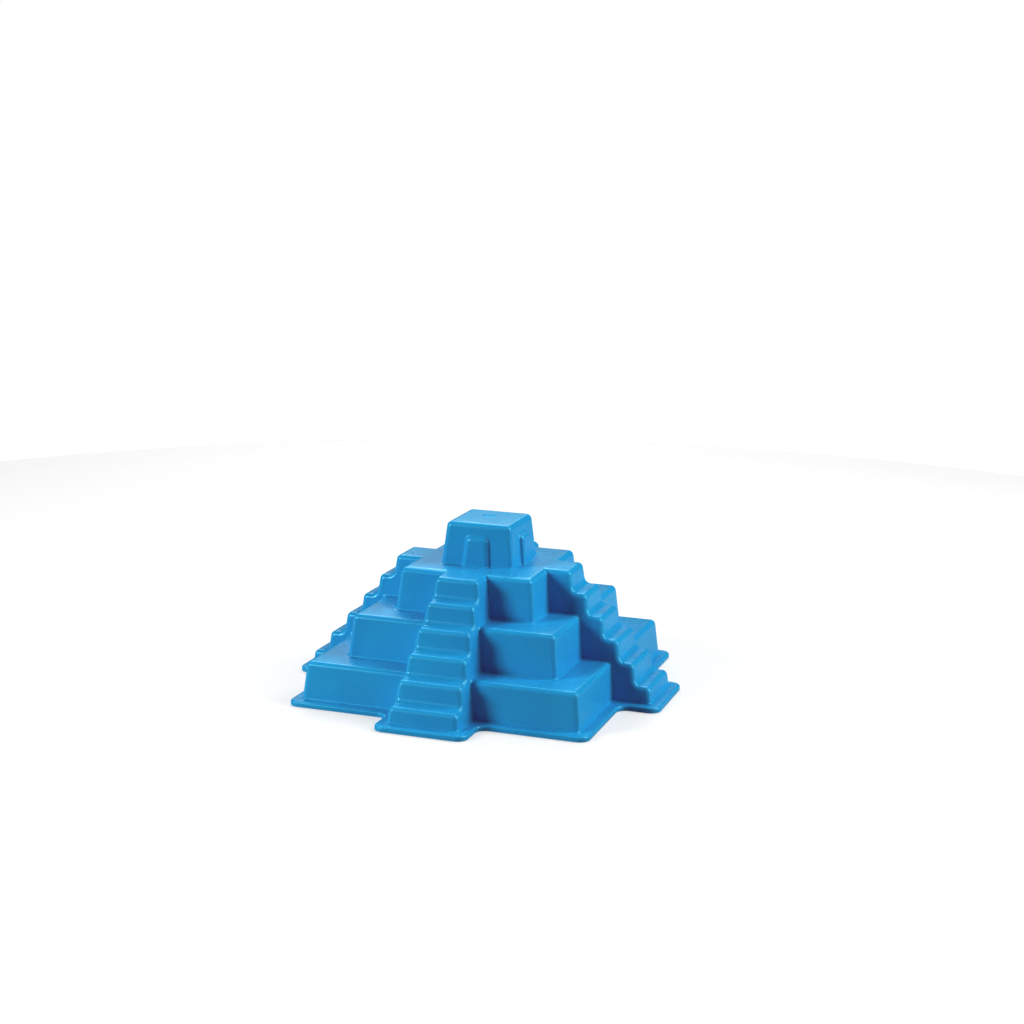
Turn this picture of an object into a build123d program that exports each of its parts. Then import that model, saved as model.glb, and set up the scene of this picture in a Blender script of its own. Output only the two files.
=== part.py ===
from build123d import *
import os

# Stepped-pyramid sand mould: one thin-walled moulding, open underneath.
# Millimetres. +Z is up, the origin is the middle of the footprint at ground level, and -Y is the front.

wall = 2.0                     # thickness of every wall, tread, ledge and roof
wall_lean = 0.106              # lean of the tier and temple walls, sideways per unit of height

# Flat rim that the mould stands on
rim_thickness = 2.8
rim_reach = 5.8                # how far it stands out past the foot of the walls
rim_corner = 6.0               # rounding of its outer corners, seen from above
rim_hollow_corner = 6.0        # rounding where a stair's rim meets a tier's rim
rim_edge = 1.2                 # rounding of its upper edge

# Square tiers and the temple: half width at the foot, and height of the top above the ground
lower_half, lower_top = 80.5, 24.0
middle_half, middle_top = 61.3, 48.0
upper_half, upper_top = 41.0, 72.0
temple_half, temple_top = 21.5, 96.0
edge_radius = 2.8              # rounding of the outer edges of tiers and temple

# Stairs: a landing level with the upper tier, then a step down at each run
step_count = 6
step_run = 9.82
step_rise = upper_top / step_count
landing_reach = 52.4           # from the middle of the mould to the edge of the landing
stair_start = 35.0             # inner end of the landing, inside the upper tier's top
landing_half = 12.3            # half width of the stair at the landing
cheek_lean = 0.119             # the stair widens downwards by this much on each side
riser_lean = 0.128
nose_radius = 2.2
tread_corner_radius = 3.8      # hollow corner between a tread and the riser above it

# Raised doors on the temple's four faces
door_depth = 2.5
door_foot_half, door_top_half = 8.1, 6.5       # at the temple wall
door_height = 16.9
door_draft = 0.44              # how far each side and the top lean in, per unit of depth
door_hollow_share = 0.8        # share of the wall thickness by which the hollow behind a door is smaller

# Injection gate mark in the roof
gate_radius, gate_depth = 3.8, 0.4
gate_place = (-0.8, 2.4)

sides = {"front": -90, "right": 0, "back": 90, "left": 180}
corners = {"front_left": (-1, -1), "front_right": (1, -1), "back_right": (1, 1), "back_left": (-1, 1)}
below_ground = 5.0             # the hollow is cut from this far below the ground
overlap = 1.0                  # how far solids that are joined or cut run into each other
beyond = 200.0                 # reaches past the whole mould
same_place = 0.01              # points closer than this are one point


def square_block(foot_half, low, high):
    """Square block with leaning walls, whose foot is at low."""
    top_half = foot_half - wall_lean * (high - low)
    foot = Plane.XY.offset(low) * Rectangle(2 * foot_half, 2 * foot_half)
    top = Plane.XY.offset(high) * Rectangle(2 * top_half, 2 * top_half)
    return loft([foot, top], ruled=True)


def outer_block(foot_half, low, high):
    """Square block with its upright and top edges rounded."""
    block = square_block(foot_half, low, high)
    rounded = [edge for edge in block.edges() if edge.center().Z > low + overlap]
    return fillet(rounded, edge_radius)


def inner_block(foot_half, low, high, floor):
    """The hollow of such a block, carried down to floor so that it opens into the space below."""
    inset_foot = foot_half - wall + wall_lean * (low - floor)
    return square_block(inset_foot, floor, high - wall)


def near(vertices, places):
    """The vertices that stand at one of the places, each an (x, z) pair."""
    return [v for v in vertices if any(abs(v.X - x) + abs(v.Z - z) < same_place for x, z in places)]


def stair_profile(inset):
    """Side outline of a stair, moved inwards by inset, in X outwards and Z up."""
    start = stair_start - inset
    ground = -below_ground if inset else rim_thickness
    noses, hollows = [], []
    for step in range(step_count):
        tread = upper_top - step * step_rise
        nose = landing_reach + step * step_run
        last = step == step_count - 1
        foot = ground + inset if last else tread - step_rise
        noses.append((nose - inset, tread - inset))
        hollows.append((nose + riser_lean * (tread - foot) - inset, foot - inset))
    steps = [point for pair in zip(noses, hollows) for point in pair]
    outline = Polyline((start, ground), (start, upper_top - inset), *steps, close=True)
    face = make_face(Plane.XZ * outline)
    if inset < nose_radius:
        face = fillet(near(face.vertices(), noses), nose_radius - inset)
    return fillet(near(face.vertices(), hollows[:-1]), tread_corner_radius + inset / 2)


def stair_block(inset, angle):
    """Stair with leaning cheeks, turned to its side of the mould."""
    bottom = -below_ground if inset else rim_thickness
    top_half = landing_half - inset
    foot_half = top_half + cheek_lean * (upper_top - bottom)
    foot = Plane.XY.offset(bottom) * Pos(beyond / 2, 0) * Rectangle(beyond, 2 * foot_half)
    top = Plane.XY.offset(upper_top) * Pos(beyond / 2, 0) * Rectangle(beyond, 2 * top_half)
    wedge = loft([foot, top], ruled=True)
    steps = extrude(stair_profile(inset), amount=foot_half + overlap, both=True)
    return Rot(0, 0, angle) * (wedge & steps)


def door_block(inset, angle):
    """Door panel that stands out of a temple wall; inset gives the hollow behind it."""
    bottom = upper_top - (wall + overlap if inset else 0)
    back = 2 * (wall + overlap) if inset else wall
    depth = door_depth - inset
    wall_plane = Plane(origin=(temple_half, 0, upper_top), x_dir=(0, 1, 0), z_dir=(1, 0, wall_lean))

    def outline(offset):
        shrink = offset * door_draft + inset * door_hollow_share
        height = door_height - shrink
        foot, top = door_foot_half - shrink, door_top_half - shrink
        below = -2 * (wall + overlap)
        corner_points = [(-foot, below), (foot, below), (top, height), (-top, height)]
        return wall_plane.offset(offset) * make_face(Polyline(*corner_points, close=True))

    panel = loft([outline(0), outline(depth)], ruled=True)
    panel += extrude(outline(0), amount=-back)
    keep = Pos(0, 0, bottom) * Box(beyond, beyond, beyond, align=(Align.CENTER, Align.CENTER, Align.MIN))
    return Rot(0, 0, angle) * (panel & keep)


def rim_outline(reach):
    """Plus-shaped outline of the rim: the lower tier's square and a bar under each pair of stairs."""
    tier_side = 2 * (lower_half + reach)
    stair_foot = landing_reach + (step_count - 1) * step_run + riser_lean * (step_rise - rim_thickness)
    bar_length = 2 * (stair_foot + reach)
    bar_width = 2 * (landing_half + cheek_lean * (upper_top - rim_thickness) + reach)
    plan = Rectangle(tier_side, tier_side) + Rectangle(bar_length, bar_width)
    plan += Rectangle(bar_width, bar_length)
    hollow = [v for v in plan.vertices() if max(abs(v.X), abs(v.Y)) < tier_side / 2 + same_place
              and min(abs(v.X), abs(v.Y)) < bar_width / 2 + same_place]
    plan = fillet(hollow, rim_hollow_corner)
    tips = [v for v in plan.vertices() if abs(abs(v.X) - abs(v.Y)) < same_place
            or max(abs(v.X), abs(v.Y)) > bar_length / 2 - same_place]
    return fillet(tips, rim_corner)


def rim_plate():
    plate = extrude(rim_outline(rim_reach), amount=rim_thickness)
    return fillet(plate.faces().sort_by(Axis.Z)[-1].edges(), rim_edge)


def single(shape):
    """The one solid of a shape, or the whole shape if it holds more."""
    found = shape.solids()
    return found[0] if len(found) == 1 else Compound(children=found)


outer_tiers = {
    "lower": outer_block(lower_half, rim_thickness, lower_top),
    "middle": outer_block(middle_half, lower_top, middle_top),
    "upper": outer_block(upper_half, middle_top, upper_top),
}
outer_temple = outer_block(temple_half, upper_top, temple_top)
outer_stairs = {side: stair_block(0, angle) for side, angle in sides.items()}
outer_doors = {side: door_block(0, angle) for side, angle in sides.items()}

hollow = inner_block(lower_half, rim_thickness, lower_top, -below_ground)
hollow += inner_block(middle_half, lower_top, middle_top, lower_top - wall - overlap)
hollow += inner_block(upper_half, middle_top, upper_top, middle_top - wall - overlap)
hollow += inner_block(temple_half, upper_top, temple_top, upper_top - wall - overlap)
for side, angle in sides.items():
    hollow += stair_block(wall, angle)
    hollow += door_block(wall, angle)

nodes = {"rim": rim_plate() - hollow}

for tier in ("lower", "middle"):
    shell = outer_tiers[tier] - hollow
    for stair in outer_stairs.values():
        shell -= stair
    for corner, (sign_x, sign_y) in corners.items():
        piece = [s for s in shell.solids() if s.center().X * sign_x > 0 and s.center().Y * sign_y > 0]
        nodes[f"{tier}_tier_{corner}"] = Compound(children=piece)

upper = outer_tiers["upper"] - hollow
for stair in outer_stairs.values():
    upper -= stair
nodes["upper_tier"] = upper

gate = Pos(gate_place[0], gate_place[1], temple_top) * Cylinder(gate_radius, 2 * gate_depth)
temple = outer_temple - hollow - gate
for side, door in outer_doors.items():
    temple -= door
    nodes[f"{side}_door"] = door - hollow
nodes["temple"] = temple

for side, stair in outer_stairs.items():
    nodes[f"{side}_stair"] = stair - hollow

os.makedirs("parts", exist_ok=True)
for name, shape in nodes.items():
    export_step(single(shape), f"parts/{name}.step")
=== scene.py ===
import math

import bmesh
import bpy
from mathutils import Matrix, Vector


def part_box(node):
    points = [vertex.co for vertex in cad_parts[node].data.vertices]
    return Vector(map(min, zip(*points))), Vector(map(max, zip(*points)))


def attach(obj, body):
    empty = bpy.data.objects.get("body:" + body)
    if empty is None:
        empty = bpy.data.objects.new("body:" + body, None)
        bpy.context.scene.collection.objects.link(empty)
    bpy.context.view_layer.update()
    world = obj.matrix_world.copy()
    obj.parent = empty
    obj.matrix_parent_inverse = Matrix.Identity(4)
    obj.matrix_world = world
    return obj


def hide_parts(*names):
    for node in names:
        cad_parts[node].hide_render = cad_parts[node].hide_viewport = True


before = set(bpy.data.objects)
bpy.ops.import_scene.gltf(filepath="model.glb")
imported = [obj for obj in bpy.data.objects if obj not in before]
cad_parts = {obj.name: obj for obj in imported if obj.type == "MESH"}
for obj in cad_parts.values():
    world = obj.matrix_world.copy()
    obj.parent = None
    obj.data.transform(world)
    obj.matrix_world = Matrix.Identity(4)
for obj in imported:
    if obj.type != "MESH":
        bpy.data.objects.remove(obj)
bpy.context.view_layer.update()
mm = 0.001
print("frame loaded")


def boxOf(start, end=""):
    # lowest and highest corner of every node whose name starts and ends so
    boxes = [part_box(node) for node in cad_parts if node.startswith(start) and node.endswith(end)]
    low = Vector([min(box[0][axis] for box in boxes) for axis in range(3)])
    high = Vector([max(box[1][axis] for box in boxes) for axis in range(3)])
    return low, high


# node helpers
def addNode(tree, kind, settings=None, **inputs):
    # inputs go by socket name, with _ for a space, or as in0, in1 for a place in the list
    node = tree.nodes.new(kind)
    for name, value in (settings or {}).items():
        setattr(node, name, value)
    for name, value in inputs.items():
        placed = name[:2] == "in" and name[2:].isdigit()
        socket = node.inputs[int(name[2:])] if placed else node.inputs[name.replace("_", " ")]
        for one in value if isinstance(value, list) else [value]:
            if isinstance(one, bpy.types.NodeSocket):
                tree.links.new(one, socket)
            else:
                socket.default_value = one
    return node


def addMath(tree, operation, *values):
    inputs = {"in" + str(place): value for place, value in enumerate(values)}
    return addNode(tree, "ShaderNodeMath", {"operation": operation}, **inputs).outputs[0]


def addChoice(tree, switch, ifFalse, ifTrue):
    return addNode(tree, "GeometryNodeSwitch", {"input_type": "FLOAT"},
                   Switch=switch, **{"False": ifFalse, "True": ifTrue}).outputs[0]


def newGeometryTree(name, sizes):
    # a tree with one named input for each size, and its Group Input and Output in place
    tree = bpy.data.node_groups.new(name, "GeometryNodeTree")
    tree.interface.new_socket("Geometry", in_out="INPUT", socket_type="NodeSocketGeometry")
    for label, value in sizes.items():
        kind = "NodeSocketInt" if isinstance(value, int) else "NodeSocketFloat"
        socket = tree.interface.new_socket(label, in_out="INPUT", socket_type=kind)
        socket.default_value = value
    tree.interface.new_socket("Material", in_out="INPUT", socket_type="NodeSocketMaterial")
    tree.interface.new_socket("Geometry", in_out="OUTPUT", socket_type="NodeSocketGeometry")
    return tree, tree.nodes.new("NodeGroupInput").outputs, tree.nodes.new("NodeGroupOutput")


def endTree(tree, geometry, material, output):
    real = addNode(tree, "GeometryNodeRealizeInstances", Geometry=geometry)
    painted = addNode(tree, "GeometryNodeSetMaterial", Geometry=real.outputs[0], Material=material)
    tree.links.new(painted.outputs[0], output.inputs[0])


def runTree(tree, base, values):
    # the tree's result as a plain mesh; the carrier object and its modifier are gone afterwards
    carrier = bpy.data.objects.new(tree.name, base)
    bpy.context.collection.objects.link(carrier)
    modifier = carrier.modifiers.new(tree.name, "NODES")
    modifier.node_group = tree
    for item in tree.interface.items_tree:
        if item.item_type == "SOCKET" and item.in_out == "INPUT" and item.name in values:
            modifier[item.identifier] = values[item.name]
    evaluated = carrier.evaluated_get(bpy.context.evaluated_depsgraph_get())
    mesh = bpy.data.meshes.new_from_object(evaluated)
    bpy.data.objects.remove(carrier)
    return mesh


def meshFrom(name, points, faces=()):
    mesh = bpy.data.meshes.new(name)
    mesh.from_pydata([tuple(point) for point in points], [], faces)
    return mesh


# the mould's sizes: what the frame gives, and the few values that shape the rest
rimHigh = boxOf("rim")[1]
stairLow, stairHigh = boxOf("right_stair")
mouldSizes = {
    "wall": 2.0 * mm,
    "lean": 0.106,                # how far the tier walls lean in, per unit of height
    "tiers": [boxOf("lower_tier"), boxOf("middle_tier"), boxOf("upper_tier"), boxOf("temple")],
    "under": 1.0 * mm,            # a block starts this far down in the one below
    "hollowUnder": 9.0 * mm,
    "belowGround": 5.0 * mm,
}
stairSizes = {
    "steps": 6,
    "run": 9.82 * mm,
    "landingReach": 52.4 * mm,
    "landingHalf": 12.3 * mm,
    "riserLean": 0.128,
    "start": stairLow.x,
}
doorSizes = {
    "depth": 2.5 * mm,
    "footHalf": 8.1 * mm,
    "topHalf": 6.5 * mm,
    "height": 16.9 * mm,
    "draft": 0.44,                # how far sides and top lean in, per unit of depth
    "topCorner": 2.6 * mm,
    "hollowCorner": 1.0 * mm,
    "cornerSteps": 6,
    "behind": 4.0 * mm,           # how far the block reaches back into the temple wall
    "hollowShare": 0.8,           # share of the wall by which the hollow behind a door is smaller
}
rimSizes = {
    "corner": 6.0 * mm,
    "hollowCorner": 6.0 * mm,
    "cornerSteps": 12,
}
wall = mouldSizes["wall"]
lean = mouldSizes["lean"]
rimTop = rimHigh.z
templeLow, templeHigh = mouldSizes["tiers"][3]
templeFoot = templeHigh.x


def makeTurnGroup():
    # four copies of whatever comes in, one on each side of the mould
    tree = bpy.data.node_groups.new("fourSides", "GeometryNodeTree")
    tree.interface.new_socket("Geometry", in_out="INPUT", socket_type="NodeSocketGeometry")
    tree.interface.new_socket("Geometry", in_out="OUTPUT", socket_type="NodeSocketGeometry")
    given = tree.nodes.new("NodeGroupInput").outputs
    output = tree.nodes.new("NodeGroupOutput")
    places = addNode(tree, "GeometryNodeMeshLine", Count=4, Offset=(0, 0, 0))
    quarter = addMath(tree, "MULTIPLY", tree.nodes.new("GeometryNodeInputIndex").outputs[0], math.pi / 2)
    turn = addNode(tree, "ShaderNodeCombineXYZ", Z=quarter)
    euler = addNode(tree, "FunctionNodeEulerToRotation", in0=turn.outputs[0])
    copies = addNode(tree, "GeometryNodeInstanceOnPoints", Points=places.outputs[0],
                     Instance=given[0], Rotation=euler.outputs[0])
    tree.links.new(copies.outputs[0], output.inputs[0])
    return tree


def makeTierTree():
    # one leaning block on each given point, sized by the point's footHalf, low and high
    tree, given, output = newGeometryTree("tierBlocks", {"Lean": lean, "Inset": 0.0, "Under": 0.001})
    cube = addNode(tree, "GeometryNodeMeshCube", Size=(2, 2, 1))
    lifted = addNode(tree, "GeometryNodeTransform", Geometry=cube.outputs[0], Translation=(0, 0, 0.5))
    blocks = addNode(tree, "GeometryNodeInstanceOnPoints", Points=given["Geometry"],
                     Instance=lifted.outputs[0])
    real = addNode(tree, "GeometryNodeRealizeInstances", Geometry=blocks.outputs[0])
    foot, low, high = [addNode(tree, "GeometryNodeInputNamedAttribute", {"data_type": "FLOAT"},
                               Name=name).outputs[0] for name in ("footHalf", "low", "high")]
    at = addNode(tree, "ShaderNodeSeparateXYZ", in0=tree.nodes.new("GeometryNodeInputPosition").outputs[0])
    bottom = addMath(tree, "SUBTRACT", low, given["Under"])
    height = addMath(tree, "SUBTRACT", addMath(tree, "SUBTRACT", high, given["Inset"]), bottom)
    z = addMath(tree, "MULTIPLY_ADD", at.outputs[2], height, bottom)
    leanIn = addMath(tree, "MULTIPLY", given["Lean"], addMath(tree, "SUBTRACT", z, low))
    half = addMath(tree, "SUBTRACT", addMath(tree, "SUBTRACT", foot, given["Inset"]), leanIn)
    placed = addNode(tree, "ShaderNodeCombineXYZ", X=addMath(tree, "MULTIPLY", at.outputs[0], half),
                     Y=addMath(tree, "MULTIPLY", at.outputs[1], half), Z=z)
    moved = addNode(tree, "GeometryNodeSetPosition", Geometry=real.outputs[0], Position=placed.outputs[0])
    endTree(tree, moved.outputs[0], given["Material"], output)
    return tree


def makeStairTree(fourSides):
    # side outline of the steps by rule, spread to both cheeks, and turned to the four sides
    sizes = {"Steps": 6, "Run": 0.01, "Rise": 0.012, "Start": 0.03, "Landing Reach": 0.05, "Landing Half": 0.01,
             "Cheek Lean": 0.1, "Riser Lean": 0.1, "Top": 0.07, "Foot": 0.0, "Inset": 0.0,
             "Nose Radius": 0.002, "Tread Radius": 0.004, "Arc Points": 5}
    tree, given, output = newGeometryTree("stairSteps", sizes)
    count = addMath(tree, "MULTIPLY_ADD", given["Steps"], 2.0, 2.0)
    line = addNode(tree, "GeometryNodeMeshLine", Count=count, Offset=(0.01, 0, 0))
    index = tree.nodes.new("GeometryNodeInputIndex").outputs[0]
    shifted = addMath(tree, "SUBTRACT", index, 2.0)
    step = addMath(tree, "FLOOR", addMath(tree, "DIVIDE", shifted, 2.0))
    isFoot = addMath(tree, "SUBTRACT", shifted, addMath(tree, "MULTIPLY", step, 2.0))
    nose = addMath(tree, "MULTIPLY_ADD", step, given["Run"], given["Landing Reach"])
    tread = addMath(tree, "SUBTRACT", given["Top"], addMath(tree, "MULTIPLY", step, given["Rise"]))
    isLast = addMath(tree, "COMPARE", step, addMath(tree, "SUBTRACT", given["Steps"], 1.0), 0.1)
    insetFoot = addMath(tree, "ADD", given["Foot"], given["Inset"])
    below = addChoice(tree, isLast, addMath(tree, "SUBTRACT", tread, given["Rise"]), insetFoot)
    drop = addMath(tree, "MULTIPLY", isFoot, addMath(tree, "SUBTRACT", tread, below))
    stepX = addMath(tree, "SUBTRACT", addMath(tree, "MULTIPLY_ADD", drop, given["Riser Lean"], nose),
                    given["Inset"])
    stepZ = addMath(tree, "SUBTRACT", addMath(tree, "SUBTRACT", tread, drop), given["Inset"])
    isStart = addMath(tree, "LESS_THAN", index, 1.5)
    isGround = addMath(tree, "LESS_THAN", index, 0.5)
    startX = addMath(tree, "SUBTRACT", given["Start"], given["Inset"])
    topZ = addMath(tree, "SUBTRACT", given["Top"], given["Inset"])
    x = addChoice(tree, isStart, stepX, startX)
    z = addChoice(tree, isStart, stepZ, addChoice(tree, isGround, topZ, given["Foot"]))
    outline = addNode(tree, "ShaderNodeCombineXYZ", X=x, Y=z)
    points = addNode(tree, "GeometryNodeSetPosition", Geometry=line.outputs[0], Position=outline.outputs[0])
    stepRadius = addChoice(tree, isFoot, given["Nose Radius"], given["Tread Radius"])
    sharpEnd = addMath(tree, "MULTIPLY", isFoot, isLast)
    radius = addChoice(tree, addMath(tree, "MAXIMUM", isStart, sharpEnd), stepRadius, 0.0)
    marked = addNode(tree, "GeometryNodeStoreNamedAttribute", {"data_type": "FLOAT", "domain": "POINT"},
                     Geometry=points.outputs[0], Name="radius", Value=radius)
    curve = addNode(tree, "GeometryNodeMeshToCurve", Mesh=marked.outputs[0])
    closed = addNode(tree, "GeometryNodeSetSplineCyclic", Geometry=curve.outputs[0], Cyclic=True)
    kept = addNode(tree, "GeometryNodeInputNamedAttribute", {"data_type": "FLOAT"}, Name="radius")
    arcs = addNode(tree, "GeometryNodeFilletCurve", {"mode": "POLY"}, Curve=closed.outputs[0],
                   Count=given["Arc Points"], Radius=kept.outputs[0])
    side = addNode(tree, "GeometryNodeFillCurve", {"mode": "NGONS"}, Curve=arcs.outputs[0])
    other = addNode(tree, "GeometryNodeFlipFaces", Mesh=side.outputs[0])
    spread = addNode(tree, "GeometryNodeExtrudeMesh", {"mode": "FACES"}, Mesh=side.outputs[0],
                     Offset=(0, 0, 1), Offset_Scale=1.0, Individual=False)
    both = addNode(tree, "GeometryNodeJoinGeometry", Geometry=[spread.outputs[0], other.outputs[0]])
    solid = addNode(tree, "GeometryNodeMergeByDistance", Geometry=both.outputs[0], Distance=1e-6)
    at = addNode(tree, "ShaderNodeSeparateXYZ", in0=tree.nodes.new("GeometryNodeInputPosition").outputs[0])
    below = addMath(tree, "SUBTRACT", given["Top"], at.outputs[1])
    widen = addMath(tree, "MULTIPLY", given["Cheek Lean"], below)
    half = addMath(tree, "SUBTRACT", addMath(tree, "ADD", given["Landing Half"], widen), given["Inset"])
    y = addMath(tree, "MULTIPLY", addMath(tree, "MULTIPLY_ADD", at.outputs[2], -2.0, 1.0), half)
    stood = addNode(tree, "ShaderNodeCombineXYZ", X=at.outputs[0], Y=y, Z=at.outputs[1])
    stair = addNode(tree, "GeometryNodeSetPosition", Geometry=solid.outputs[0], Position=stood.outputs[0])
    around = addNode(tree, "GeometryNodeGroup", {"node_tree": fourSides}, in0=stair.outputs[0])
    endTree(tree, around.outputs[0], given["Material"], output)
    return tree


def makeDoorTree(fourSides):
    tree, given, output = newGeometryTree("doorPanels", {})
    around = addNode(tree, "GeometryNodeGroup", {"node_tree": fourSides}, in0=given["Geometry"])
    endTree(tree, around.outputs[0], given["Material"], output)
    return tree


def tierPoints():
    # one point for each block, carrying its sizes
    tiers = mouldSizes["tiers"]
    mesh = meshFrom("tierPoints", [(0, 0, 0)] * len(tiers))
    lows = [rimTop] + [box[1].z for box in tiers[:-1]]
    for name, values in (("footHalf", [box[1].x for box in tiers]), ("low", lows),
                         ("high", [box[1].z for box in tiers])):
        mesh.attributes.new(name, "FLOAT", "POINT").data.foreach_set("value", values)
    return mesh


def doorBlock(inset):
    # the right-hand door: a tapered block with round upper corners, out of the temple's leaning wall
    shrink = inset * doorSizes["hollowShare"]
    base = -wall - mm if inset else -mm
    corner = max(doorSizes["topCorner"] - inset, doorSizes["hollowCorner"])
    steps = doorSizes["cornerSteps"]
    points = []
    for out in (-doorSizes["behind"], doorSizes["depth"] - inset):
        less = out * doorSizes["draft"] + shrink
        foot, top, height = [doorSizes[key] - less for key in ("footHalf", "topHalf", "height")]
        leanIn = math.atan2(foot - top, height)
        openAngle = math.pi / 2 - leanIn
        ring = [(-foot, base), (foot, base)]
        side = Vector((top, height)) + Vector((-math.tan(openAngle / 2), -1)) * corner
        arc = [(side.x + corner * math.cos(a), side.y + corner * math.sin(a))
               for a in (leanIn + step / steps * openAngle for step in range(steps + 1))]
        ring += arc + [(-across, up) for across, up in reversed(arc)]
        points += [(templeFoot - lean * up + out, across, templeLow.z + up + out * lean) for across, up in ring]
    count = len(points) // 2
    faces = [tuple(reversed(range(count))), tuple(range(count, 2 * count))]
    faces += [(a, (a + 1) % count, count + (a + 1) % count, count + a) for a in range(count)]
    return meshFrom("doorBlock", points, faces)


def rimOutline():
    # plus-shaped outline with round outer corners and round hollow corners, anticlockwise
    reach = rimHigh.x
    square = mouldSizes["tiers"][0][1].x + reach - stairHigh.x
    bar = stairHigh.y + reach - stairHigh.x
    quarter = [(reach, -bar, "corner"), (reach, bar, "corner"), (square, bar, "hollowCorner"),
               (square, square, "corner"), (bar, square, "hollowCorner")]
    corners = []
    for turn in range(4):
        spin = Matrix.Rotation(turn * math.pi / 2, 2)
        corners += [(spin @ Vector((x, y)), rimSizes[kind]) for x, y, kind in quarter]
    points = []
    for place, (corner, radius) in enumerate(corners):
        before = (corners[place - 1][0] - corner).normalized()
        after = (corners[(place + 1) % len(corners)][0] - corner).normalized()
        centre = corner + (before + after) * radius
        for step in range(rimSizes["cornerSteps"] + 1):
            angle = step / rimSizes["cornerSteps"] * math.pi / 2
            points.append(centre - after * radius * math.cos(angle) - before * radius * math.sin(angle))
    return points


def rimPlate():
    outline = rimOutline()
    count = len(outline)
    points = [(p.x, p.y, z) for z in (0.0, rimTop) for p in outline]
    faces = [tuple(reversed(range(count))), tuple(range(count, 2 * count))]
    faces += [(a, (a + 1) % count, count + (a + 1) % count, count + a) for a in range(count)]
    return meshFrom("rimPlate", points, faces)


# from blocks to one moulded skin
partKinds = ["tier", "stair", "door", "rim"]
arcPoints = 6
sharpFrom = 20                    # degrees; flatter edges are only facets
partTags = {kind: bpy.data.materials.new(kind + "Tag") for kind in partKinds}


def mergedBlocks(name, inset, radii):
    # tiers, stairs, doors and rim as one closed mesh; a face's material tells its kind of part
    hollow = inset > 0
    stairValues = {
        "Steps": stairSizes["steps"],
        "Run": stairSizes["run"],
        "Rise": stairHigh.z / stairSizes["steps"],
        "Start": stairSizes["start"],
        "Landing Reach": stairSizes["landingReach"],
        "Landing Half": stairSizes["landingHalf"],
        "Cheek Lean": (stairHigh.y - stairSizes["landingHalf"]) / (stairHigh.z - rimTop),
        "Riser Lean": stairSizes["riserLean"],
        "Top": stairHigh.z,
        "Foot": -mouldSizes["belowGround"] if hollow else rimTop - mouldSizes["under"],
        "Inset": inset,
        "Nose Radius": radii["nose"],
        "Tread Radius": radii["tread"],
        "Arc Points": arcPoints,
    }
    under = mouldSizes["hollowUnder"] if hollow else mouldSizes["under"]
    blocks = [
        runTree(tierTree, tierPoints(), {"Lean": lean, "Inset": inset, "Under": under}),
        runTree(stairTree, meshFrom("empty", []), stairValues),
        runTree(doorTree, doorBlock(inset), {}),
    ]
    if not hollow:
        blocks.append(rimPlate())
    others = bpy.data.collections.new(name + "Blocks")
    bpy.context.scene.collection.children.link(others)
    made = []
    for place, mesh in enumerate(blocks):
        mesh.materials.clear()
        for kind in partKinds:
            mesh.materials.append(partTags[kind])
        mesh.polygons.foreach_set("material_index", [place] * len(mesh.polygons))
        made.append(bpy.data.objects.new(name + partKinds[place], mesh))
        (others if place else bpy.context.collection).objects.link(made[-1])
    union = made[0].modifiers.new("union", "BOOLEAN")
    union.solver, union.operation, union.use_self = "EXACT", "UNION", True
    union.operand_type, union.collection = "COLLECTION", others
    merged = plainMesh(made[0])
    for one in made:
        bpy.data.objects.remove(one)
    bpy.data.collections.remove(others)
    return merged


def plainMesh(obj):
    return bpy.data.meshes.new_from_object(obj.evaluated_get(bpy.context.evaluated_depsgraph_get()))


def roundingOf(edge, radii):
    # the radius for an edge, from the parts on its two sides and whether it sticks out or goes in
    kinds = {partKinds[face.material_index] for face in edge.link_faces}
    upright = {partKinds[face.material_index] for face in edge.link_faces if abs(face.normal.z) < 0.5}
    first, second = edge.verts
    middle = (first.co + second.co) / 2
    way = (second.co - first.co).normalized()
    level = abs(way.z) < 0.01
    if middle.z < radii["from"] or edge.calc_face_angle(0.0) < math.radians(sharpFrom):
        return 0.0
    if edge.is_convex:
        if kinds == {"rim"}:
            return radii["rim"] if level else 0.0
        return radii["door" if "door" in kinds else "cheek" if "stair" in upright else "tier"]
    if "door" in kinds:
        return radii["doorFoot"]
    return radii["foot"]


def roundedSkin(name, inset, radii):
    mesh = mergedBlocks(name, inset, radii)
    work = bmesh.new()
    work.from_mesh(mesh)
    bmesh.ops.remove_doubles(work, verts=work.verts, dist=0.001 * mm)
    for turn in range(2):
        bmesh.ops.dissolve_limit(work, angle_limit=math.radians(1.0), verts=work.verts, edges=work.edges)
    spare = [vert for vert in work.verts if len(vert.link_edges) == 2]
    bmesh.ops.dissolve_verts(work, verts=spare)
    work.normal_update()
    weight = work.edges.layers.float.new("bevel_weight_edge")
    widest = max(radii.values())
    for edge in work.edges:
        edge[weight] = roundingOf(edge, radii) / widest
    work.to_mesh(mesh)
    work.free()
    shape = bpy.data.objects.new(name, mesh)
    bpy.context.collection.objects.link(shape)
    bevel = shape.modifiers.new("rounding", "BEVEL")
    bevel.limit_method, bevel.offset_type = "WEIGHT", "OFFSET"
    bevel.width, bevel.segments, bevel.use_clamp_overlap = widest, arcPoints, False
    bevel.miter_outer = "MITER_SHARP"
    rounded = plainMesh(shape)
    bpy.data.objects.remove(shape)
    return rounded


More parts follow.
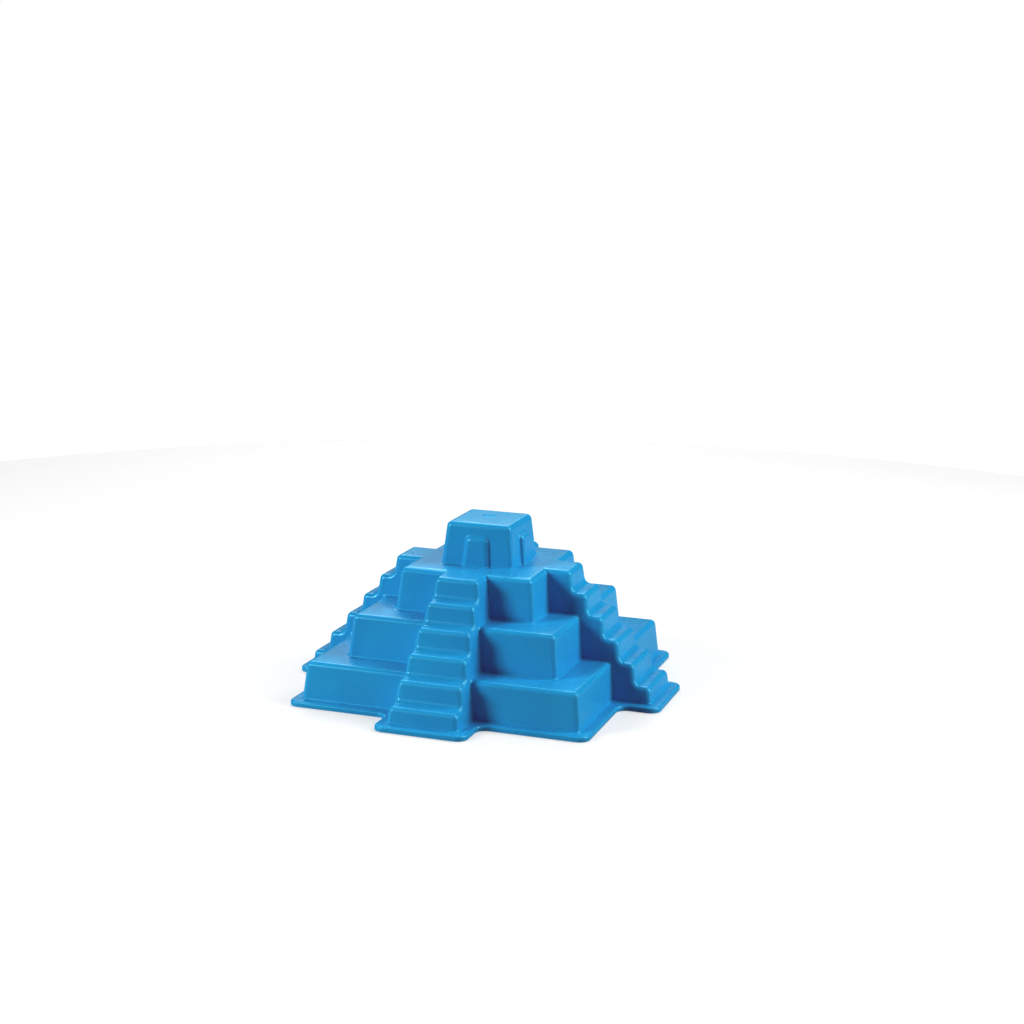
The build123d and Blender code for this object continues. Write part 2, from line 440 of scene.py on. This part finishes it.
# the shell: outer skin less the hollow underneath
outerRadii = {                    # rounding of the outside, by kind of edge
    "tier": 2.8 * mm,
    "nose": 3.1 * mm,
    "cheek": 2.8 * mm,
    "tread": 3.8 * mm,
    "foot": 1.0 * mm,
    "door": 1.5 * mm,
    "doorFoot": 0.8 * mm,
    "rim": 1.2 * mm,
    "from": 0.5 * mm,             # edges below this height stay sharp
}
innerRadii = {                    # the same edges seen from underneath
    "tier": 0.8 * mm,
    "nose": 0.7 * mm,
    "cheek": 0.4 * mm,
    "tread": 5.6 * mm,
    "foot": 1.2 * mm,
    "door": 0.3 * mm,
    "doorFoot": 1.5 * mm,
    "rim": 1.0 * mm,
    "from": -4.0 * mm,
}
fourSides = makeTurnGroup()
tierTree = makeTierTree()
stairTree = makeStairTree(fourSides)
doorTree = makeDoorTree(fourSides)
print("outer skin")
outerMesh = roundedSkin("outerSkin", 0.0, outerRadii)
print("hollow")
hollowMesh = roundedSkin("hollowSkin", wall, innerRadii)


gateMark = {                      # shallow round mark in the roof, with a small pip in its middle
    "at": Vector((-0.8 * mm, 2.4 * mm, templeHigh.z)),
    "radius": 3.8 * mm,
    "depth": 0.4 * mm,
    "slope": 0.4 * mm,
    "pipTop": 0.5 * mm,
    "pipFoot": 0.9 * mm,
    "pipLow": 0.08 * mm,          # the pip stays this far below the roof
    "sides": 48,
}


def turnedBlock(name, profile, centre, sides):
    # closed solid of revolution about an upright line; the profile runs from its lowest to its highest pole
    angles = [side / sides * 2 * math.pi for side in range(sides)]
    points = [centre + Vector((0, 0, profile[0][1])), centre + Vector((0, 0, profile[-1][1]))]
    rings = profile[1:-1]
    for radius, height in rings:
        points += [centre + Vector((radius * math.cos(a), radius * math.sin(a), height)) for a in angles]
    faces = []
    for side in range(sides):
        here, there = 2 + side, 2 + (side + 1) % sides
        faces.append((0, there, here))
        for ring in range(len(rings) - 1):
            up, above = ring * sides, (ring + 1) * sides
            faces.append((here + up, there + up, there + above, here + above))
        last = (len(rings) - 1) * sides
        faces.append((here + last, there + last, 1))
    return meshFrom(name, points, faces)


def gateCutter():
    radius, depth = gateMark["radius"], gateMark["depth"]
    pipLow = gateMark["pipLow"]
    profile = [(0, -pipLow), (gateMark["pipTop"], -pipLow), (gateMark["pipFoot"], -depth),
               (radius - gateMark["slope"], -depth), (radius + gateMark["slope"], depth), (0, depth)]
    return turnedBlock("gateCutter", profile, gateMark["at"], gateMark["sides"])


def cutShell(name, outer, cutters):
    shell = bpy.data.objects.new(name, outer)
    bpy.context.collection.objects.link(shell)
    made = [shell]
    for mesh in cutters:
        made.append(bpy.data.objects.new(mesh.name, mesh))
        bpy.context.collection.objects.link(made[-1])
        cut = shell.modifiers.new(mesh.name, "BOOLEAN")
        cut.solver, cut.operation, cut.object = "EXACT", "DIFFERENCE", made[-1]
    mesh = plainMesh(shell)
    for one in made:
        bpy.data.objects.remove(one)
    return mesh


creaseFrom = 34                   # degrees between faces that are shaded apart
edgeHighlightReach = 1.1 * mm              # widest facet of a rounded edge that takes the painted highlight


def evenedNormals(mesh):
    # smooth over the roundings, sharp at the rim's foot, flat on the flat faces
    mesh.set_sharp_from_angle(angle=math.radians(creaseFrom))
    carrier = bpy.data.objects.new("evened", mesh)
    bpy.context.collection.objects.link(carrier)
    evened = carrier.modifiers.new("evened", "WEIGHTED_NORMAL")
    evened.weight, evened.keep_sharp = 100, True
    done = plainMesh(carrier)
    bpy.data.objects.remove(carrier)
    return done


def markEdgeWear(mesh, widest):
    # point attribute for the painted highlight: 1 along the middle of rounded outside edges, 0 on flat and
    # hollow places
    work = bmesh.new()
    work.from_mesh(mesh)
    layer = work.verts.layers.float.new("edgeWear")
    rounded = set()
    for face in work.faces:
        lengths = [edge.calc_length() for edge in face.edges]
        turned = sum(edge.calc_face_angle_signed(0.0) * length for edge, length in zip(face.edges, lengths))
        if turned > 0 and face.calc_area() / max(lengths) < widest:
            rounded.add(face.index)
    for vert in work.verts:
        vert[layer] = float(all(face.index in rounded for face in vert.link_faces))
    work.to_mesh(mesh)
    work.free()


for mesh in (outerMesh, hollowMesh):
    mesh.shade_smooth()
print("shell")
cutMesh = cutShell("shell", outerMesh, [hollowMesh, gateCutter()])
markEdgeWear(cutMesh, edgeHighlightReach)
shellMesh = evenedNormals(cutMesh)
shellMesh.name = "mouldShell"
mouldShell = bpy.data.objects.new("mouldShell", shellMesh)
bpy.context.collection.objects.link(mouldShell)


plasticLook = {
    "colour": (0.004, 0.425, 0.720),
    "deepColour": (0.002, 0.370, 0.665),     # where the wall is a shade thicker
    "glow": (0.031, 0.0, 0.008),             # painted shade: a faint violet glow everywhere, lifting the deep shade toward violet
    "sheen": (0.40, 1.0, 1.0),               # tint of the highlights
    "roughness": 0.25,
    "grainSize": 1100.0,                     # grains per metre of the moulded surface
    "grainDepth": 0.012 * mm,
    "flowSize": 26.0,                        # broad waves of the flow of the plastic, per metre
    "scuffs": 0.06,
    "paintedHighlightColour": (0.06, 0.50, 0.80),        # painted highlight: rounded outside edges made a little paler
    "paintedHighlightShare": 0.12,
    "roughFlow": 0.05,                       # how much each mask adds to the roughness
    "roughScuff": 0.25,
    "roughEdgeHighlight": -0.03,
}


def newShaderGroup(name, ins, outs):
    tree = bpy.data.node_groups.new(name, "ShaderNodeTree")
    for label, value in ins.items():
        kind = "NodeSocketVector" if value is None else "NodeSocketFloat"
        socket = tree.interface.new_socket(label, in_out="INPUT", socket_type=kind)
        if value is not None:
            socket.default_value = value
    for label in outs:
        tree.interface.new_socket(label, in_out="OUTPUT", socket_type="NodeSocketFloat")
    return tree, tree.nodes.new("NodeGroupInput").outputs, tree.nodes.new("NodeGroupOutput").inputs


def makeMouldedGrain():
    # fine bumps of a moulded surface, and broad slow waves; both from 0 to 1
    tree, given, out = newShaderGroup("mouldedGrain", {"Place": None, "Grain Size": 1000.0, "Flow Size": 30.0},
                                      ["Grain", "Flow"])
    fine = addNode(tree, "ShaderNodeTexNoise", Vector=given["Place"], Scale=given["Grain Size"], Detail=3.0,
                   Roughness=0.6)
    broad = addNode(tree, "ShaderNodeTexNoise", Vector=given["Place"], Scale=given["Flow Size"], Detail=2.0,
                    Distortion=0.8)
    eased = addNode(tree, "ShaderNodeMapRange", Value=broad.outputs["Fac"], From_Min=0.3, From_Max=0.7)
    tree.links.new(fine.outputs["Fac"], out["Grain"])
    tree.links.new(eased.outputs[0], out["Flow"])
    return tree


def makeWornEdges():
    # 1 along convex edges in patches, where the highlight is painted, and in sparse scuffs, 0 elsewhere
    tree, given, out = newShaderGroup("edgeHighlightAndScuffs", {"Place": None, "Edge": 0.0, "Scuffs": 0.5},
                                      ["Wear", "Scuff"])
    breakUp = addNode(tree, "ShaderNodeTexNoise", Vector=given["Place"], Scale=30.0, Detail=1.0)
    patchy = addNode(tree, "ShaderNodeMapRange", Value=breakUp.outputs["Fac"], From_Min=0.20, From_Max=0.80)
    stretched = addNode(tree, "ShaderNodeMapping", Vector=given["Place"], Scale=(260.0, 45.0, 120.0),
                        Rotation=(0.3, 0.2, 0.7))
    lines = addNode(tree, "ShaderNodeTexNoise", Vector=stretched.outputs[0], Scale=1.0, Detail=5.0)
    sparse = addNode(tree, "ShaderNodeMapRange", Value=lines.outputs["Fac"], From_Min=0.66, From_Max=0.74)
    tree.links.new(addMath(tree, "MULTIPLY", given["Edge"], patchy.outputs[0]), out["Wear"])
    tree.links.new(addMath(tree, "MULTIPLY", sparse.outputs[0], given["Scuffs"]), out["Scuff"])
    return tree


def makePlastic():
    material = bpy.data.materials.new("bluePlastic")
    material.use_nodes = True
    tree = material.node_tree
    shader = tree.nodes["Principled BSDF"]
    # painted shade: the plastic glows faintly violet, which tints its deep shade
    shader.inputs["Emission Color"].default_value = (*plasticLook["glow"], 1)
    shader.inputs["Emission Strength"].default_value = 1.0
    shader.inputs["Specular Tint"].default_value = (*plasticLook["sheen"], 1)
    place = addNode(tree, "ShaderNodeTexCoord").outputs["Object"]
    grain = addNode(tree, "ShaderNodeGroup", {"node_tree": makeMouldedGrain()}, Place=place,
                    Grain_Size=plasticLook["grainSize"], Flow_Size=plasticLook["flowSize"])
    edges = addNode(tree, "ShaderNodeAttribute", {"attribute_name": "edgeWear"})
    highlightAndScuffs = addNode(tree, "ShaderNodeGroup", {"node_tree": makeWornEdges()}, Place=place,
                   Edge=edges.outputs["Fac"], Scuffs=plasticLook["scuffs"])
    body = addNode(tree, "ShaderNodeMix", {"data_type": "RGBA"}, Factor=grain.outputs["Flow"],
                   in6=(*plasticLook["colour"], 1), in7=(*plasticLook["deepColour"], 1))
    # painted highlight: the base colour turns paler along rounded outside edges
    paled = addNode(tree, "ShaderNodeMix", {"data_type": "RGBA"},
                    Factor=addMath(tree, "MULTIPLY", highlightAndScuffs.outputs["Wear"], plasticLook["paintedHighlightShare"]),
                    in6=body.outputs[2], in7=(*plasticLook["paintedHighlightColour"], 1))
    tree.links.new(paled.outputs[2], shader.inputs["Base Color"])
    rough = addMath(tree, "MULTIPLY_ADD", grain.outputs["Flow"], plasticLook["roughFlow"],
                    plasticLook["roughness"])
    rougher = addMath(tree, "MULTIPLY_ADD", highlightAndScuffs.outputs["Scuff"], plasticLook["roughScuff"], rough)
    smoother = addMath(tree, "MULTIPLY_ADD", highlightAndScuffs.outputs["Wear"], plasticLook["roughEdgeHighlight"], rougher)
    tree.links.new(smoother, shader.inputs["Roughness"])
    bump = addNode(tree, "ShaderNodeBump", Strength=1.0, Distance=plasticLook["grainDepth"],
                   Height=grain.outputs["Grain"])
    tree.links.new(bump.outputs[0], shader.inputs["Normal"])
    return material


print("plastic")
bluePlastic = makePlastic()
shellMesh.materials.clear()
shellMesh.materials.append(bluePlastic)
shellMesh.polygons.foreach_set("material_index", [0] * len(shellMesh.polygons))
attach(mouldShell, "root")
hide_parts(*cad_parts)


# floor, lights and camera
print("floor, lights and camera")
floorLook = {
    "radius": 0.8,
    "sides": 96,
    "drop": 0.3 * mm,             # keeps the floor just clear of the rim
    "colour": (0.36, 0.36, 0.36),
    "glow": 0.57,                 # plain white that the camera sees on top of the matt floor
}
angles = [side / floorLook["sides"] * 2 * math.pi for side in range(floorLook["sides"])]
floorRim = [Vector((math.cos(a), math.sin(a), 0)) * floorLook["radius"] for a in angles]
floorLevel = Vector((0, 0, -floorLook["drop"]))
floorMesh = meshFrom("studioFloor", [point + floorLevel for point in floorRim], [tuple(range(len(floorRim)))])
studioFloor = bpy.data.objects.new("studioFloor", floorMesh)
bpy.context.collection.objects.link(studioFloor)


def makeFloor():
    # matt, so that it takes soft shadows, with a plain white glow over it
    material = bpy.data.materials.new("paleFloor")
    material.use_nodes = True
    tree = material.node_tree
    matt = tree.nodes["Principled BSDF"]
    matt.inputs["Base Color"].default_value = (*floorLook["colour"], 1)
    matt.inputs["Roughness"].default_value = 0.8
    seen = tree.nodes.new("ShaderNodeLightPath").outputs["Is Camera Ray"]
    glow = addNode(tree, "ShaderNodeEmission", Color=(1, 1, 1, 1),
                   Strength=addMath(tree, "MULTIPLY", seen, floorLook["glow"]))
    both = addNode(tree, "ShaderNodeAddShader", in0=matt.outputs[0], in1=glow.outputs[0])
    tree.links.new(both.outputs[0], tree.nodes["Material Output"].inputs["Surface"])
    return material


floorMesh.materials.append(makeFloor())

lampDistance = 1.2
lamps = {                         # turn from +X, height and disk size in degrees and metres, power in watts
    "leftFront": {"turn": 225, "height": 25, "size": 0.50, "power": 12.6},
    "rightLow": {"turn": 8, "height": 20, "size": 0.60, "power": 7.6},
    "rightHigh": {"turn": 15, "height": 48, "size": 0.60, "power": 8.0},
    "behind": {"turn": 114, "height": 43, "size": 1.0, "power": 8.4},
}
lookAt = Vector((0, 0, 40 * mm))
for name, lamp in lamps.items():
    data = bpy.data.lights.new(name, "AREA")
    data.shape, data.size, data.energy = "DISK", lamp["size"], lamp["power"]
    light = bpy.data.objects.new(name, data)
    turn, height = math.radians(lamp["turn"]), math.radians(lamp["height"])
    away = Vector((math.cos(turn) * math.cos(height), math.sin(turn) * math.cos(height), math.sin(height)))
    light.location = lookAt + away * lampDistance
    light.rotation_euler = away.to_track_quat("Z", "Y").to_euler()
    bpy.context.collection.objects.link(light)

fillLight = 0.01                  # faint light from all around
world = bpy.data.worlds.new("studioWorld")
bpy.context.scene.world = world
world.use_nodes = True
sky = world.node_tree
dim = sky.nodes["Background"]
dim.inputs["Color"].default_value = (1, 1, 1, 1)
dim.inputs["Strength"].default_value = fillLight
bright = addNode(sky, "ShaderNodeBackground", Color=(1, 1, 1, 1), Strength=1.0)
seen = sky.nodes.new("ShaderNodeLightPath").outputs["Is Camera Ray"]
both = addNode(sky, "ShaderNodeMixShader", in0=seen, in1=dim.outputs[0], in2=bright.outputs[0])
sky.links.new(both.outputs[0], sky.nodes["World Output"].inputs["Surface"])

cameraSizes = {
    "at": (0.35195, -0.96409, 0.32112),
    "lens": 65.07,
    "sensor": 36.0,
    "turn": 19.354,               # degrees to the left of straight ahead
    "tilt": 12.208,               # degrees down
    "roll": 0.667,
}
contrast = 1.3                    # exponent of the tone curve
cameraData = bpy.data.cameras.new("studioCamera")
cameraData.lens, cameraData.sensor_width = cameraSizes["lens"], cameraSizes["sensor"]
cameraData.clip_start = 10 * mm
studioCamera = bpy.data.objects.new("studioCamera", cameraData)
turn, tilt, roll = [math.radians(cameraSizes[key]) for key in ("turn", "tilt", "roll")]
facing = Matrix.Rotation(turn, 4, "Z") @ Matrix.Rotation(math.pi / 2 - tilt, 4, "X")
facing = facing @ Matrix.Rotation(roll, 4, "Z")
studioCamera.matrix_world = Matrix.Translation(cameraSizes["at"]) @ facing
bpy.context.collection.objects.link(studioCamera)
bpy.context.scene.camera = studioCamera
view = bpy.context.scene.view_settings
view.view_transform, view.gamma = "Standard", 1 / contrast

print("size")
